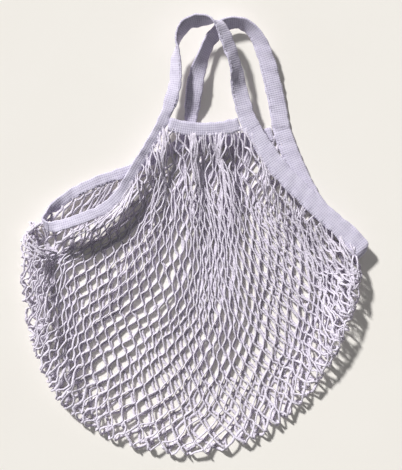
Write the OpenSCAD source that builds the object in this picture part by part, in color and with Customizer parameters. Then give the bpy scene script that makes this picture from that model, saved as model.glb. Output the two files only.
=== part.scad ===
// Mesh produce bag of cotton netting, bound with knitted tape, lying on its back.
// X runs to the right, Y from the bottom fold to the handles, Z up from the surface.

/* [Bag] */
// Overall width
bag_w = 382; // [342:5:422]
// Overall height, handles included
bag_h = 476; // [426:5:526]
// Clear height of the mouth between the front and the back tape
mouth_gap = 9; // [7:0.5:14]

/* [Netting] */
// Thickness of the netting's cord
cord_d = 2; // [1.6:0.1:2.6]
// Diamonds across the netting, drawn coarser than the real mesh
mesh_columns = 16; // [10:1:17]
// Half rows of diamonds from the yoke to the bottom fold
mesh_rows = 16; // [10:1:17]
// Cords that turn round the bottom fold
fold_cords = 30; // [16:1:34]

/* [Tape] */
// Thickness of one layer of the knitted tape
tape_layer = 0.8; // [0.6:0.1:1.2]
// Room for the netting inside the folded tape, above and below
slot_clear = 0.2; // [0.1:0.05:0.4]
// Tape width along the right side
right_tape_w = 20; // [16:1:24]
// Tape width along the left side
left_tape_w = 12; // [10:1:14]
// Tape width at the handles
handle_w = 18; // [15:1:20]
// Thickness of the tape folded shut at the handles
handle_t = 3; // [2:0.2:4]
// Height of the back handle's top above its feet
handle_rise = 10; // [8:0.5:12]

/* [Yokes] */
// Height of the yoke bands
yoke_h = 15; // [10:1:16]
// Dip of a yoke at its middle
yoke_sag = 6; // [3:0.5:9]

/* [Sewing] */
// Length of one stitch
stitch_len = 3; // [2:0.2:4]
// Gap between stitches
stitch_gap = 1.5; // [1:0.1:3]
// Sewing thread thickness
thread_d = 0.6; // [0.4:0.1:0.8]
// Distance of a seam from the tape's edge
seam_inset = 2; // [1.5:0.1:3]
// Threads in a bar tack
tack_threads = 6; // [4:1:8]
// Distance of a bar tack from the tape's outer edge
tack_inset = 1; // [0.5:0.1:2]

/* [Joints] */
// Height up the bag of the line where the front of the mouth folds open
mouth_line_y = 45; // [40:1:50]
// Height up the bag of the line where the front handle folds
front_fold_y = 131; // [130:1:134]
// Height up the bag of the line where the back handle folds
back_fold_y = 134; // [133:1:138]
// Gap between pieces on either side of a fold line
fold_gap = 0.4; // [0.2:0.1:1]

/* [Hidden] */

tape_colour = [0.83, 0.81, 0.87];
net_colour = [0.80, 0.77, 0.82];
thread_colour = [0.88, 0.86, 0.91];

// The routes are drawn for a bag of this size
drawn_w = 382;
drawn_h = 476;
stretch_x = bag_w / drawn_w;
stretch_y = bag_h / drawn_h;

mouth_y = mouth_line_y * stretch_y;
front_hinge_y = front_fold_y * stretch_y;
back_hinge_y = back_fold_y * stretch_y;

// Levels, from the surface up
slot_h = cord_d + 2 * slot_clear;
tape_t = slot_h + 2 * tape_layer;
back_z = tape_t / 2;
front_z = tape_t + mouth_gap + tape_t / 2;
layer_step = front_z - back_z;
seat_gap = 0.15;
rim_clear = 3;
thread_lift = 0.55;

// The endless tape: x, y, z, roll about its own run and width at each point.
// Roll 0 is flat with the sewn edge to the right of the run, -180 flat with it to the left.
// The raised rim leans with its sewn edge up, so that its face looks into the mouth.
flat_front = 0;
flat_back = -180;
raised_rim = 40;
rw = right_tape_w;
lw = left_tape_w;
hw = handle_w;
rim_z = front_z + cord_d / 2 + rim_clear + lw / 2 * sin(raised_rim) + handle_t / 2 * cos(raised_rim);
// The right tape narrows to the handle's width
function taper(part) = rw + (hw - rw) * part;
function back_lift(part) = back_z + handle_rise * part;
// The front handle lies over the back one, so it rises further where the tape stands on edge
front_rise = handle_rise + handle_w / 4;
function front_lift(part) = front_z + front_rise * part;
tape_points = [
    // back right binding, from the low point up
    [178, -11, back_z, flat_back, rw],
    [162, 5, back_z, flat_back, rw],
    [140, 23, back_z, flat_back, rw],
    [123, 47, back_z, flat_back, rw],
    [110, 73, back_z, flat_back, rw],
    [100, 97, back_z, flat_back, taper(1 / 7)],
    [93, 117, back_z, flat_back, taper(2 / 7)],
    [90, back_fold_y, back_z, flat_back, taper(3 / 7)],
    // back handle
    [87, 150, back_lift(0.1), -178, taper(4 / 7)],
    [82, 171, back_lift(0.3), -172, taper(5 / 7)],
    [76, 193, back_lift(0.6), -160, taper(6 / 7)],
    [66, 216, back_lift(0.9), -140, hw],
    [53, 229, back_lift(1), -125, hw],
    [38, 231, back_lift(1), -127, hw],
    [26, 225, back_lift(1), -135, hw],
    [14, 210, back_lift(0.95), -134, hw],
    [6, 191, back_lift(0.85), -138, hw],
    [0, 171, back_lift(0.25), -176, hw],
    [-3, 150, back_lift(0.1), -178, hw],
    [-5, back_fold_y, back_z, flat_back, (hw + lw) / 2],
    // back left binding
    [-8, 118, back_z, flat_back, lw],
    [-17, 103, back_z, flat_back, lw],
    [-32, 92, back_z, flat_back, lw],
    [-52, 82, back_z, flat_back, lw],
    [-75, 71, back_z, flat_back, lw],
    [-104, 61, back_z, flat_back, lw],
    [-130, 49, back_z, flat_back, lw],
    // turn at the left low point
    [-150, 35, back_z + layer_step / 3, -150, lw],
    [-161, 25, back_z + layer_step * 2 / 3, -110, lw],
    [-164, 17, back_z + layer_step * 0.9, -88, lw],
    [-157, 11, front_z + lw / 3, -25, lw],
    [-143, 13, rim_z, raised_rim, lw],
    // front left rim, standing up from the netting
    [-119, 21, rim_z, raised_rim, lw],
    [-98, 31, front_z + lw / 6, raised_rim / 8, lw],
    [-83, mouth_line_y, front_z, flat_front, lw],
    // front left binding
    [-75, 57, front_z, flat_front, lw],
    [-64, 76, front_z, flat_front, lw],
    [-51, 97, front_z, flat_front, lw],
    [-40, 116, front_z, flat_front, lw],
    [-33, front_fold_y, front_z, flat_front, lw],
    // front handle, which turns its inner face up over the top
    [-27, 146, front_lift(0.1), 15, (hw + lw) / 2],
    [-22, 166, front_lift(0.3), 42, hw],
    [-21, 191, front_lift(0.5), 55, hw],
    [-18, 214, front_lift(0.7), 112, hw],
    [-8, 228, front_lift(0.8), 128, hw],
    [11, 231, front_lift(0.9), 118, hw],
    [25, 226, front_lift(1), 52, hw],
    [34, 206, front_lift(0.9), 28, hw],
    [42, 183, front_lift(0.65), 30, hw],
    [46, 160, front_lift(0.15), 8, hw],
    [50, 145, front_lift(0.05), 2, hw],
    [54, front_fold_y, front_z, flat_front, taper(6 / 7)],
    // front right binding, down to the low point
    [61, 116, front_z, flat_front, taper(4 / 7)],
    [76, 92, front_z, flat_front, taper(2 / 7)],
    [95, 67, front_z, flat_front, rw],
    [117, mouth_line_y, front_z, flat_front, rw],
    [140, 23, front_z, flat_front, rw],
    [162, 5, front_z, flat_front, rw],
    [178, -11, front_z, flat_front, rw]
];
// Where each stretch of tape begins and ends in that list
BACK_RIGHT = [0, 7];
BACK_HANDLE = [7, 19];
BACK_LEFT = [19, 26];
LEFT_TURN = [26, 32];
LEFT_RIM = [32, 34];
FRONT_LEFT = [34, 39];
FRONT_HANDLE = [39, 51];
FRONT_RIGHT_UPPER = [51, 55];
FRONT_RIGHT_LOWER = [55, 58];
tape_steps = 3;

// The bottom fold of the netting, from the left low point round to the right one
fold_points = [
    [-175, 1], [-184, -30], [-181, -75], [-170, -125], [-149, -169], [-112, -202], [-60, -222],
    [0, -230], [50, -219], [95, -190], [130, -148], [156, -100], [169, -58], [169, -32]
];
fold_steps = 4;

// Curves through points, and frames along the tape
function flatten(lists) = [for (l = lists) for (v = l) v];
function curve_point(a, b, c, d, t) =
    0.5 * (2 * b + (c - a) * t + (2 * a - 5 * b + 4 * c - d) * t * t + (3 * b - a - 3 * c + d) * t * t * t);
function curve(p, steps) = concat(
    flatten([for (i = [0:len(p) - 2]) [for (k = [0:steps - 1])
        curve_point(p[max(i - 1, 0)], p[i], p[i + 1], p[min(i + 2, len(p) - 1)], k / steps)]]),
    [p[len(p) - 1]]);
function unit(v) = v / norm(v);
function stretched(p) = [p[0] * stretch_x, p[1] * stretch_y];
function xy(p) = [p[0], p[1]];

drawn_tape = [for (p = tape_points) concat(stretched(p), [p[2], p[3], p[4]])];
// The tape never dips below the surface or rolls past flat at the back
tape = [for (p = curve(drawn_tape, tape_steps))
    [p[0], p[1], max(p[2], back_z), max(p[3], flat_back), p[4]]];
fold = curve([for (p = fold_points) stretched(p)], fold_steps);

function place(i) = [tape[i][0], tape[i][1], tape[i][2]];
function run(i) = unit(place(min(i + 1, len(tape) - 1)) - place(max(i - 1, 0)));
function level_side(i) = unit([run(i)[1], -run(i)[0], 0]);
function across(i) = cos(tape[i][3]) * level_side(i) + sin(tape[i][3]) * cross(level_side(i), run(i));
function facing(i) = cross(across(i), run(i));
function tape_at(i, side, lift) = place(i) + side * across(i) + lift * facing(i);
function half_width(i) = tape[i][4] / 2;
// Slides a point along the tape's run to a level line, for square ends at a fold
function slid(p, r, y) = is_undef(y) ? p : p + r * (y - p[1]) / r[1];

// Cross sections of the tape, as pairs of side and lift
function shut_section(w, t) = [[-w / 2, -t / 2], [w / 2, -t / 2], [w / 2, t / 2], [-w / 2, t / 2]];
function folded_section(w) = [
    [-w / 2, -tape_t / 2], [w / 2, -tape_t / 2], [w / 2, -slot_h / 2], [-w / 2 + 2 * tape_layer, -slot_h / 2],
    [-w / 2 + 2 * tape_layer, slot_h / 2], [w / 2, slot_h / 2], [w / 2, tape_t / 2], [-w / 2, tape_t / 2]
];

// A stretch of tape between two of its points; first_y and last_y square its ends off at a fold line
module tape_stretch(span, open = false, t = tape_t, first_y = undef, last_y = undef) {
    first = span[0] * tape_steps;
    last = span[1] * tape_steps;
    sections = [for (i = [first:last]) open ? folded_section(tape[i][4]) : shut_section(tape[i][4], t)];
    n = len(sections[0]);
    rings = last - first;
    points = flatten([for (k = [0:rings]) [for (s = sections[k])
        slid(tape_at(first + k, s[0], s[1]), run(first + k),
            k == 0 ? first_y : k == rings ? last_y : undef)]]);
    sides = flatten([for (k = [0:rings - 1]) flatten([for (j = [0:n - 1]) let (m = (j + 1) % n) [
        [k * n + j, (k + 1) * n + m, (k + 1) * n + j],
        [k * n + j, k * n + m, (k + 1) * n + m]]])]);
    color(tape_colour)
        polyhedron(points, concat(sides, [[for (j = [n - 1:-1:0]) j], [for (j = [0:n - 1]) rings * n + j]]));
}

// A row of stitches along the sewn edge of a stretch of tape; up is 1 on its face, -1 on its back
module seam(span, lift, up = 1) {
    first = span[0] * tape_steps + 1;
    last = span[1] * tape_steps - 1;
    line = [for (i = [first:last])
        [tape_at(i, half_width(i) - seam_inset, up * lift), up * facing(i)]];
    step_len = [for (k = [0:len(line) - 2]) norm(line[k + 1][0] - line[k][0])];
    color(thread_colour)
        for (k = [0:len(line) - 2]) {
            count = max(1, floor(step_len[k] / (stitch_len + stitch_gap)));
            for (c = [0:count - 1]) {
                f = (c + 0.5) / count;
                at = line[k][0] + f * (line[k + 1][0] - line[k][0]);
                r = unit(line[k + 1][0] - line[k][0]);
                off = unit(line[k][1] + f * (line[k + 1][1] - line[k][1]));
                side = unit(cross(off, r));
                top = cross(r, side);
                multmatrix([
                    [r[0], side[0], top[0], at[0]], [r[1], side[1], top[1], at[1]],
                    [r[2], side[2], top[2], at[2]], [0, 0, 0, 1]])
                    translate([-stitch_len / 2, -thread_d / 2, thread_lift])
                        cube([stitch_len, thread_d, thread_d]);
            }
        }
}

// The yokes are arcs of folded tape between two stretches of the endless tape
function steps_of(span) = [span[0] * tape_steps:span[1] * tape_steps];
function nearest(span, y) = let (least = min([for (k = steps_of(span)) abs(tape[k][1] - y)]))
    [for (i = steps_of(span)) if (abs(tape[i][1] - y) == least) i][0];
function crossing(line, y) = [for (k = [0:len(line) - 2]) let (a = line[k], b = line[k + 1])
    if ((a[1] - y) * (b[1] - y) <= 0) a + (b - a) * (y - a[1]) / (b[1] - a[1])][0];
function inner_edge(span, y) = crossing(tape_line(span, 0, 0, 1), y);
function yoke_arc(a, b) = let (
    chord = norm(b - a) - 2 * yoke_end_gap,
    r = chord * chord / (8 * yoke_sag) + yoke_sag / 2,
    turn = atan2(b[1] - a[1], b[0] - a[0]),
    half = asin(chord / 2 / r))
    [(a + b) / 2 + r * cos(half) * [-sin(turn), cos(turn)], r, turn, half];
yoke_end_gap = 1;
front_yoke_y = 121.5 * stretch_y;
back_yoke_y = 112 * stretch_y;
front_arc = yoke_arc(inner_edge(FRONT_LEFT, front_yoke_y), inner_edge(FRONT_RIGHT_UPPER, front_yoke_y));
back_arc = yoke_arc(inner_edge(BACK_LEFT, back_yoke_y), inner_edge(BACK_RIGHT, back_yoke_y));
arc_steps = 12;
function on_arc(arc, below, f) = let (a = arc[2] - 90 + (2 * f - 1) * arc[3])
    arc[0] + (arc[1] + below) * [cos(a), sin(a)];
function arc_line(arc, below) = [for (k = [0:arc_steps]) on_arc(arc, below, k / arc_steps)];

module yoke(arc, z) {
    inner = arc[1] - yoke_h / 2;
    outer = arc[1] + yoke_h / 2;
    color(tape_colour)
        translate([arc[0][0], arc[0][1], z])
            rotate([0, 0, arc[2] - 90 - arc[3]])
                rotate_extrude(angle = 2 * arc[3], $fn = 180)
                    polygon([
                        [inner, -tape_t / 2], [outer, -tape_t / 2], [outer, -slot_h / 2],
                        [inner + 2 * tape_layer, -slot_h / 2], [inner + 2 * tape_layer, slot_h / 2],
                        [outer, slot_h / 2], [outer, tape_t / 2], [inner, tape_t / 2]]);
}

module yoke_seam(arc, z) {
    radius = arc[1] + yoke_h / 2 - seam_inset;
    pitch = (stitch_len + stitch_gap) / radius * 180 / PI;
    count = floor(2 * arc[3] / pitch);
    color(thread_colour)
        for (k = [0:count - 1]) {
            a = arc[2] - 90 + (k - (count - 1) / 2) * pitch;
            translate([arc[0][0] + radius * cos(a), arc[0][1] + radius * sin(a), z + tape_t / 2])
                rotate([0, 0, a + 90])
                    translate([-stitch_len / 2, -thread_d / 2, 0])
                        cube([stitch_len, thread_d, thread_d]);
        }
}

// The netting: a patch between the yoke, the two side tapes and the bottom fold
function lengths(p) = [
    for (i = 0, s = 0; i < len(p); i = i + 1, s = s + (i < len(p) ? norm(p[i] - p[i - 1]) : 0)) s];
function along(p, sums, f) = let (
    want = f * sums[len(p) - 1],
    i = max([for (k = [0:len(p) - 2]) sums[k] <= want ? k : 0]),
    part = (want - sums[i]) / max(sums[i + 1] - sums[i], 0.0001))
    p[i] + part * (p[i + 1] - p[i]);
function reversed(p) = [for (i = [len(p) - 1:-1:0]) p[i]];
function tape_line(span, skip_first, skip_last, side) =
    [for (i = [span[0] * tape_steps + skip_first:span[1] * tape_steps - skip_last])
        xy(tape_at(i, side * half_width(i), 0))];
function patch_point(edges, u, v) = let (
    top = edges[0], right = edges[1], bottom = edges[2], left = edges[3],
    t = along(top[0], top[1], u), b = along(bottom[0], bottom[1], u),
    l = along(left[0], left[1], v), r = along(right[0], right[1], v),
    tl = top[0][0], tr = top[0][len(top[0]) - 1],
    bl = bottom[0][0], br = bottom[0][len(bottom[0]) - 1])
    (1 - v) * t + v * b + (1 - u) * l + u * r
    - (1 - u) * (1 - v) * tl - u * (1 - v) * tr - (1 - u) * v * bl - u * v * br;
function measured(p) = [p, lengths(p)];

function edge_distance(c, a, b) = let (d = b - a)
    norm(d) < 0.01 ? 1000 : abs(d[0] * (c[1] - a[1]) - d[1] * (c[0] - a[0])) / norm(d);
// A diamond drawn in from its sides by half a cord, or nothing where it is too narrow
function gap_of(q) = let (
    c = (q[0] + q[1] + q[2] + q[3]) / 4,
    room = min([for (k = [0:3]) edge_distance(c, q[k], q[(k + 1) % 4])]),
    f = 1 - cord_d / 2 / room)
    f < 0.25 ? [] : [for (p = q) c + f * (p - c)];
function clamp01(x) = min(max(x, 0), 1);
function mesh_node(edges, i, j) = patch_point(edges, clamp01(i / mesh_columns), clamp01(j / mesh_rows));
function mesh_gaps(edges) = [for (j = [-1:mesh_rows - 1]) for (i = [0:mesh_columns])
    let (
        c = i + (j % 2 == 0 ? 0 : 0.5),
        gap = c > mesh_columns ? [] : gap_of([
            mesh_node(edges, c, j), mesh_node(edges, c + 0.5, j + 1),
            mesh_node(edges, c, j + 2), mesh_node(edges, c - 0.5, j + 1)]))
    if (len(gap) > 0) gap];

fold_inset = cord_d;
function inward(p, d) = [for (i = [0:len(p) - 1]) let (
    r = unit(p[min(i + 1, len(p) - 1)] - p[max(i - 1, 0)])) p[i] + d * [-r[1], r[0]]];

// The selvedge lies in the tapes and the yoke; the diamonds start at their inner edges
front_left_line = tape_line(FRONT_LEFT, 1, 4, 1);
rim_inner_edge = concat(tape_line(LEFT_RIM, 0, 0, 1), front_left_line);
mouth_corner = [
    crossing(rim_inner_edge, mouth_y) + [cord_d / 2, 0],
    crossing(tape_line(FRONT_LEFT, 0, 0, 0.2), mouth_y)];
front_left_rim = [stretched([-93, 24]), stretched([-118, 13]), stretched([-144, 4]), stretched([-160, 1])];
front_right_line = concat(tape_line(FRONT_RIGHT_UPPER, 3, 1, 1), tape_line(FRONT_RIGHT_LOWER, 0, 1, 1));
back_left_line = tape_line(BACK_LEFT, 8, 2, 1);
back_left_rim = [stretched([-128, 37]), stretched([-142, 20]), stretched([-158, 6])];
back_right_line = reversed(tape_line(BACK_RIGHT, 1, 7, 1));

front_edges = [
    measured(arc_line(front_arc, yoke_h / 2)),
    measured(concat(front_right_line, [fold[len(fold) - 1]])),
    measured(inward(fold, fold_inset)),
    measured(concat(reversed(front_left_line), front_left_rim, [fold[0]]))
];
back_edges = [
    measured(arc_line(back_arc, yoke_h / 2)),
    measured(concat(back_right_line, [fold[len(fold) - 1]])),
    measured(inward(fold, fold_inset)),
    measured(concat(back_left_line, back_left_rim, [fold[0]]))
];
function clear_of_turn(i) = xy(tape_at(i, half_width(i) + 2 * cord_d, 0));
front_outline = concat(
    arc_line(front_arc, 0),
    tape_line(FRONT_RIGHT_UPPER, 3, 1, 0.2), tape_line(FRONT_RIGHT_LOWER, 0, 1, 0.2),
    [clear_of_turn(len(tape) - 2)],
    reversed(fold), reversed(front_left_rim),
    mouth_corner, tape_line(FRONT_LEFT, 1, 4, 0.2));
back_outline = concat(
    arc_line(back_arc, 0),
    reversed(tape_line(BACK_RIGHT, 1, 7, 0.2)), [clear_of_turn(1)],
    reversed(fold), reversed(back_left_rim),
    reversed(tape_line(BACK_LEFT, 8, 2, 0.2)));

module netting(outline, edges, z) {
    color(net_colour)
        translate([0, 0, z - cord_d / 2])
            linear_extrude(cord_d)
                difference() {
                    polygon(outline);
                    for (gap = mesh_gaps(edges)) polygon(gap);
                }
}

module half_space(from_y, above) {
    reach = 2 * bag_h;
    translate([-reach / 2, above ? from_y : from_y - reach, -reach / 2]) cube(reach);
}

module fold_cord(p, n) {
    r = layer_step / 2;
    multmatrix([
        [0, n[0], -n[1], p[0]], [0, n[1], n[0], p[1]],
        [1, 0, 0, (front_z + back_z) / 2], [0, 0, 0, 1]])
        translate([0, seat_gap, 0])
            rotate_extrude(angle = 180, $fn = 48)
                translate([r, 0]) circle(d = cord_d, $fn = 16);
}

module back_net() netting(back_outline, back_edges, back_z);
module front_net_lower() {
    intersection() {
        netting(front_outline, front_edges, front_z);
        half_space(mouth_y - fold_gap / 2, false);
    }
}
module front_net_upper() {
    intersection() {
        netting(front_outline, front_edges, front_z);
        half_space(mouth_y + fold_gap / 2, true);
    }
}
module net_fold_cords() {
    sums = lengths(fold);
    color(net_colour)
        for (k = [0:fold_cords - 1]) {
            f = (k + 0.5) / fold_cords;
            p = along(fold, sums, f);
            d = unit(along(fold, sums, min(f + 0.005, 1)) - along(fold, sums, max(f - 0.005, 0)));
            fold_cord(p, [d[1], -d[0]]);
        }
}

module front_yoke() yoke(front_arc, front_z);
module back_yoke() yoke(back_arc, back_z);

module back_right_binding() tape_stretch(BACK_RIGHT, open = true, last_y = back_hinge_y - fold_gap / 2);
module back_left_binding() tape_stretch(BACK_LEFT, open = true, first_y = back_hinge_y - fold_gap / 2);
module left_tape_turn() tape_stretch(LEFT_TURN, t = handle_t);
module front_left_rim() tape_stretch(LEFT_RIM, t = handle_t, last_y = mouth_y - fold_gap / 2);
module front_left_binding() tape_stretch(FRONT_LEFT, open = true,
    first_y = mouth_y + fold_gap / 2, last_y = front_hinge_y - fold_gap / 2);
module front_right_binding_upper() tape_stretch(FRONT_RIGHT_UPPER, open = true,
    first_y = front_hinge_y - fold_gap / 2, last_y = mouth_y + fold_gap / 2);
module front_right_binding_lower() tape_stretch(FRONT_RIGHT_LOWER, open = true,
    first_y = mouth_y - fold_gap / 2);
module front_handle() tape_stretch(FRONT_HANDLE, t = handle_t,
    first_y = front_hinge_y + fold_gap / 2, last_y = front_hinge_y + fold_gap / 2);
module back_handle() tape_stretch(BACK_HANDLE, t = handle_t,
    first_y = back_hinge_y + fold_gap / 2, last_y = back_hinge_y + fold_gap / 2);

// The tape folds straight over on itself at the right low point
module right_tape_turn() {
    last = len(tape) - 1;
    d = unit(place(last) - place(last - 1));
    inner = mouth_gap / 2;
    color(tape_colour)
        multmatrix([
            [0, d[0], -d[1], place(last)[0]], [0, d[1], d[0], place(last)[1]],
            [1, 0, 0, (front_z + back_z) / 2], [0, 0, 0, 1]])
            translate([0, seat_gap, 0])
                rotate_extrude(angle = 180, $fn = 64)
                    translate([inner, -right_tape_w / 2]) square([tape_t, right_tape_w]);
}

module front_yoke_stitching() yoke_seam(front_arc, front_z);
module back_yoke_stitching() yoke_seam(back_arc, back_z);
module front_left_stitching() seam(FRONT_LEFT, tape_t / 2);
module front_right_stitching_upper() seam(FRONT_RIGHT_UPPER, tape_t / 2);
module front_right_stitching_lower() seam(FRONT_RIGHT_LOWER, tape_t / 2);
module back_left_stitching() seam(BACK_LEFT, tape_t / 2, up = -1);
module back_right_stitching() seam(BACK_RIGHT, tape_t / 2, up = -1);
module front_handle_stitching() seam(FRONT_HANDLE, handle_t / 2);
module back_handle_stitching() seam(BACK_HANDLE, handle_t / 2, up = -1);

// A bar tack: short threads side by side across the tape where a yoke meets it
module bar_tack(span, y) {
    i = nearest(span, y);
    c = place(i);
    turn = atan2(across(i)[1], across(i)[0]);
    start = tack_inset - half_width(i);
    tack_len = half_width(i) - seam_inset - 2 * thread_d - start;
    pitch = 2 * thread_d;
    color(thread_colour)
        translate([c[0], c[1], c[2] + tape_t / 2 + thread_lift])
            rotate([0, 0, turn])
                for (k = [0:tack_threads - 1])
                    translate([start, (k - (tack_threads - 1) / 2) * pitch - thread_d / 2, 0])
                        cube([tack_len, thread_d, thread_d]);
}
module front_bar_tacks() {
    bar_tack(FRONT_LEFT, front_yoke_y);
    bar_tack(FRONT_RIGHT_UPPER, front_yoke_y);
}
module back_bar_tacks() {
    bar_tack(BACK_LEFT, back_yoke_y);
    bar_tack(BACK_RIGHT, back_yoke_y);
}

back_net();
front_net_lower();
front_net_upper();
net_fold_cords();
front_yoke();
back_yoke();
back_right_binding();
back_left_binding();
left_tape_turn();
right_tape_turn();
front_left_rim();
front_left_binding();
front_right_binding_upper();
front_right_binding_lower();
front_handle();
back_handle();
front_yoke_stitching();
back_yoke_stitching();
front_left_stitching();
front_right_stitching_upper();
front_right_stitching_lower();
back_left_stitching();
back_right_stitching();
front_handle_stitching();
back_handle_stitching();
front_bar_tacks();
back_bar_tacks();
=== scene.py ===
# %% [markdown]
# # A mesh produce bag
# A cotton string bag lies flat on its back: one diamond net, hung like a hammock between two short yokes,
# and one endless knitted tape that binds the mouth and makes both handles. All of it is soft, so nothing
# here starts from a block. The CAD model says where each piece lies, and this script weaves and sews it
# there.

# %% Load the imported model
import bpy
import numpy as np
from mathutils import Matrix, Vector


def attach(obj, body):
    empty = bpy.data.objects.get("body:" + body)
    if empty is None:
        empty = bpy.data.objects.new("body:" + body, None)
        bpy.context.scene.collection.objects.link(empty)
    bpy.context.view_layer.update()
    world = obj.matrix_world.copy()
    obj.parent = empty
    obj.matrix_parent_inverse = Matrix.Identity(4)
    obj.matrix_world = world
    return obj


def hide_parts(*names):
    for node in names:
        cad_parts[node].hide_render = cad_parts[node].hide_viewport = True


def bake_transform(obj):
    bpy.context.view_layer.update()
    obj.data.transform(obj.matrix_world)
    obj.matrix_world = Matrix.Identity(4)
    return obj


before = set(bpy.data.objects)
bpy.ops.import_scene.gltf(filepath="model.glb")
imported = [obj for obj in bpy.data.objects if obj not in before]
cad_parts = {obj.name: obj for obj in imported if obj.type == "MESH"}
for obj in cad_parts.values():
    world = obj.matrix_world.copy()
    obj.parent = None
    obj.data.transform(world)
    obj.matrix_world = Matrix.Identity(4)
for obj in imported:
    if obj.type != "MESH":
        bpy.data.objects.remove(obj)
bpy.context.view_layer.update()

MM = 0.001


# %% [markdown]
# ## Camera
# The photograph looks straight down. A long lens from 1.2 m keeps the perspective as weak as it is there.
# One photo pixel is 1.08 mm on the bag, so 470 pixels of height fix the lens.

# %% Camera over the bag
PIXEL = 1.08 * MM
FRAME_PIXELS = 470
SENSOR = 36
camera_height, bag_middle = 1.2, 10 * MM
frame_centre = (5.4 * MM, 2.2 * MM)
bpy.ops.object.camera_add(location=(*frame_centre, camera_height), rotation=(0, 0, 0))
camera = bpy.context.object
camera.data.sensor_width = SENSOR
camera.data.lens = SENSOR * (camera_height - bag_middle) / (FRAME_PIXELS * PIXEL)
bpy.context.scene.camera = camera
bpy.context.scene.view_settings.view_transform = "Standard"
print("lens", round(camera.data.lens, 1), "mm")

# %% [markdown]
# ## Colours and nodes
# Colours are written as they look on screen, in sRGB, and turned to the linear values that shaders take.
# One helper adds a node: plain values are set on its sockets, sockets are linked to them. Another does sums.

# %% Helpers for materials
def linear(hex_colour):
    """The linear colour, with full alpha, of an sRGB hex value."""
    srgb = [int(hex_colour[i:i + 2], 16) / 255 for i in (1, 3, 5)]
    return tuple(c / 12.92 if c <= 0.04045 else ((c + 0.055) / 1.055) ** 2.4 for c in srgb) + (1.0,)


def add(tree, kind, sockets=None, **settings):
    node = tree.nodes.new(kind)
    for name, value in settings.items():
        setattr(node, name, value)
    for key, value in (sockets or {}).items():
        if isinstance(value, bpy.types.NodeSocket):
            tree.links.new(value, node.inputs[key])
        else:
            node.inputs[key].default_value = value
    return node


def maths(tree, operation, *values, clamp=False):
    sockets = dict(enumerate(values))
    return add(tree, "ShaderNodeMath", sockets, operation=operation, use_clamp=clamp).outputs[0]


def new_material(name):
    material = bpy.data.materials.new(name)
    material.use_nodes = True
    material.node_tree.nodes.clear()
    return material, material.node_tree


# %% [markdown]
# ## Floor and light
# The bag lies on a pale table in one clear light that comes low over its handles, from the left, with enough
# fill that the shadows stay open. Key and fill add up to one on a level surface, so a colour renders about
# as it is written. Where the camera sees the table itself, it glows faintly, a painted light from no lamp
# that lifts the shadows on the table, so the net's gaps don't go dark.

# %% Floor, key and fill
TABLE_SIZE, TABLE_Z, TABLE_GLOW = 8, -0.4 * MM, 0.05
bpy.ops.mesh.primitive_plane_add(size=TABLE_SIZE, location=(0, 0, TABLE_Z))
table = bpy.context.object
table.name = "table"
table_paint, tree = new_material("pale_table_paint")
mottle = add(tree, "ShaderNodeTexNoise", {"Scale": 60.0, "Detail": 3.0})
pale = add(tree, "ShaderNodeMixRGB", {
    "Fac": mottle.outputs["Fac"], "Color1": linear("#E8E4DD"), "Color2": linear("#ECE9E3")})
sight = add(tree, "ShaderNodeLightPath")
tone = add(tree, "ShaderNodeMixRGB", {
    "Fac": sight.outputs["Is Camera Ray"], "Color1": linear("#F0ECE6"), "Color2": pale.outputs["Color"]})
# the table glows for the camera only: painted light, no lamp, that lifts the shadows on it
glow = maths(tree, "MULTIPLY", sight.outputs["Is Camera Ray"], TABLE_GLOW)
paint = add(tree, "ShaderNodeBsdfPrincipled", {
    "Base Color": tone.outputs["Color"], "Roughness": 0.8, "Specular IOR Level": 0.2,
    "Emission Color": linear("#FFFAF2"), "Emission Strength": glow})
add(tree, "ShaderNodeOutputMaterial", {"Surface": paint.outputs["BSDF"]})
table.data.materials.append(table_paint)

FILL = 0.15
SUN_SPREAD = 0.1
key_from = Vector((-0.6, 0.8, 0.72))
bpy.ops.object.light_add(type="SUN", location=key_from)
key = bpy.context.object
key.rotation_euler = key_from.to_track_quat("Z", "Y").to_euler()
key.data.angle = SUN_SPREAD
key.data.energy = (1 - FILL) * np.pi / key_from.normalized().z
key.data.color = (1.0, 0.995, 0.985)

world = bpy.data.worlds.new("soft_room")
bpy.context.scene.world = world
world.use_nodes = True
sky = world.node_tree
sky.nodes.clear()
ray = add(sky, "ShaderNodeLightPath")
seen = maths(sky, "MAXIMUM", ray.outputs["Is Camera Ray"], ray.outputs["Is Glossy Ray"])
seen = maths(sky, "MAXIMUM", seen, ray.outputs["Is Transmission Ray"])
room = add(sky, "ShaderNodeBackground", {"Color": (0.97, 0.98, 1.0, 1), "Strength": FILL})
white = add(sky, "ShaderNodeBackground", {"Color": (1, 1, 1, 1), "Strength": 1.0})
mixed = add(sky, "ShaderNodeMixShader", {0: seen, 1: room.outputs[0], 2: white.outputs[0]})
add(sky, "ShaderNodeOutputWorld", {"Surface": mixed.outputs[0]})
print("key", round(key.data.energy, 2), "fill", FILL)
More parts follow.
